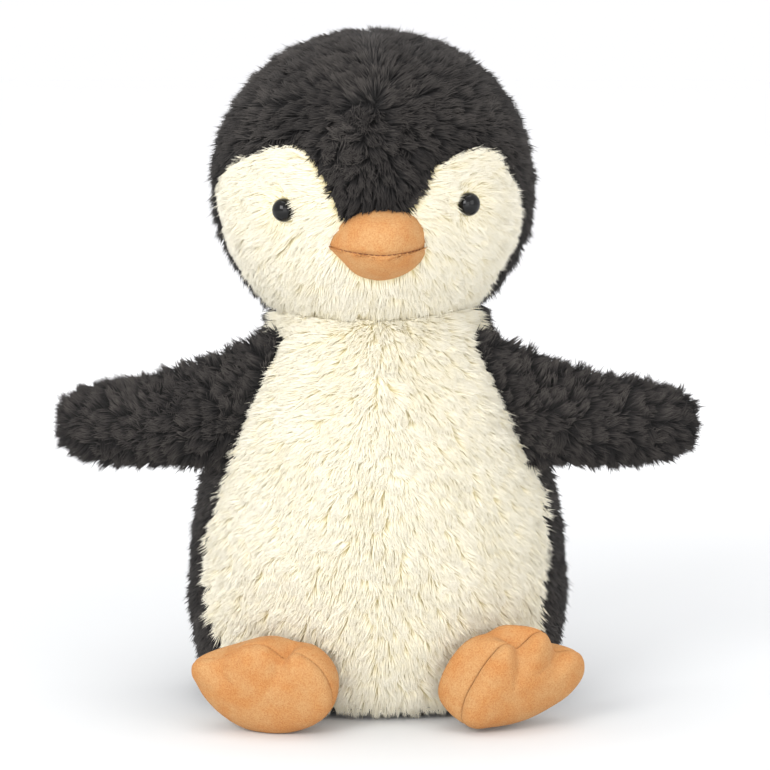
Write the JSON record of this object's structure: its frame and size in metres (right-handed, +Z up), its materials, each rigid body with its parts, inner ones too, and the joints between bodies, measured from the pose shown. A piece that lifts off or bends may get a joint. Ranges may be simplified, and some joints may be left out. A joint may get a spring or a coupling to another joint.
{
  "type": "plush penguin",
  "caption": "Sitting stuffed penguin toy with a round head that turns and nods, flippers that swing and feet that lift, weighted to stand on a flat base.",
  "frame": {"origin": "centre of the flat base that the toy sits on", "axes": "+Z up, the face looks along -Y, +X is on the right as seen from the front"},
  "size_m": [0.2692, 0.151, 0.2794],
  "materials": {
    "dark_plush": "long-pile polyester plush, dark charcoal brown",
    "cream_plush": "long-pile polyester plush, warm cream",
    "orange_suedette": "brushed suedette, soft orange",
    "black_plastic": "moulded glossy black",
    "white_plastic": "moulded natural white",
    "fibre_stuffing": "loose white polyester fibre",
    "pellet_cloth": "plain woven pouch cloth over plastic pellets"
  },
  "bodies": {
    "torso": {"belly_panel_left": "cream_plush", "belly_panel_right": "cream_plush", "back_panel_left": "dark_plush", "back_panel_right": "dark_plush", "base_panel": "dark_plush", "body_stuffing": "fibre_stuffing", "bean_bag": "pellet_cloth"},
    "neck": {"neck_stuffing": "fibre_stuffing"},
    "head": {"crown_panel": "dark_plush", "head_side_left": "dark_plush", "head_side_right": "dark_plush", "cheek_left": "cream_plush", "cheek_right": "cream_plush", "head_stuffing": "fibre_stuffing", "beak_upper": "orange_suedette", "beak_lower": "orange_suedette", "beak_stuffing": "fibre_stuffing", "eye_left": "black_plastic", "eye_right": "black_plastic", "eye_washer_left": "white_plastic", "eye_washer_right": "white_plastic"},
    "wing_left": {"wing_front_left": "dark_plush", "wing_back_left": "dark_plush", "wing_stuffing_left": "fibre_stuffing"},
    "wing_right": {"wing_front_right": "dark_plush", "wing_back_right": "dark_plush", "wing_stuffing_right": "fibre_stuffing"},
    "foot_left": {"foot_sole_left": "orange_suedette", "foot_top_left": "orange_suedette", "foot_stuffing_left": "fibre_stuffing"},
    "foot_right": {"foot_sole_right": "orange_suedette", "foot_top_right": "orange_suedette", "foot_stuffing_right": "fibre_stuffing"}
  },
  "joints": [
    {"name": "head_turn", "type": "hinge", "parent": "torso", "child": "neck", "pos_m": [-0.002, 0, 0.21388], "axis": [0, 0, 1], "range_deg": [-25, 25], "stiffness_Nm_per_rad": 0.2},
    {"name": "head_nod", "type": "hinge", "parent": "neck", "child": "head", "pos_m": [-0.002, 0, 0.21388], "axis": [1, 0, 0], "range_deg": [-15, 15], "stiffness_Nm_per_rad": 0.4},
    {"name": "wing_left_swing", "type": "hinge", "parent": "torso", "child": "wing_left", "pos_m": [-0.05268, -0.026, 0.129], "axis": [0.4084, 0, 0.9128], "range_deg": [-10, 60], "stiffness_Nm_per_rad": 0.06},
    {"name": "wing_right_swing", "type": "hinge", "parent": "torso", "child": "wing_right", "pos_m": [0.05268, -0.026, 0.129], "axis": [0.4084, 0, -0.9128], "range_deg": [-10, 60], "stiffness_Nm_per_rad": 0.06},
    {"name": "foot_left_lift", "type": "hinge", "parent": "torso", "child": "foot_left", "pos_m": [-0.03945, -0.05889, 0.02222], "axis": [-0.9703, 0.2419, 0], "range_deg": [-3, 15], "stiffness_Nm_per_rad": 0.1},
    {"name": "foot_right_lift", "type": "hinge", "parent": "torso", "child": "foot_right", "pos_m": [0.04503, -0.05588, 0.02165], "axis": [-0.8806, -0.4355, 0.1866], "range_deg": [-3, 15], "stiffness_Nm_per_rad": 0.1}
  ]
}
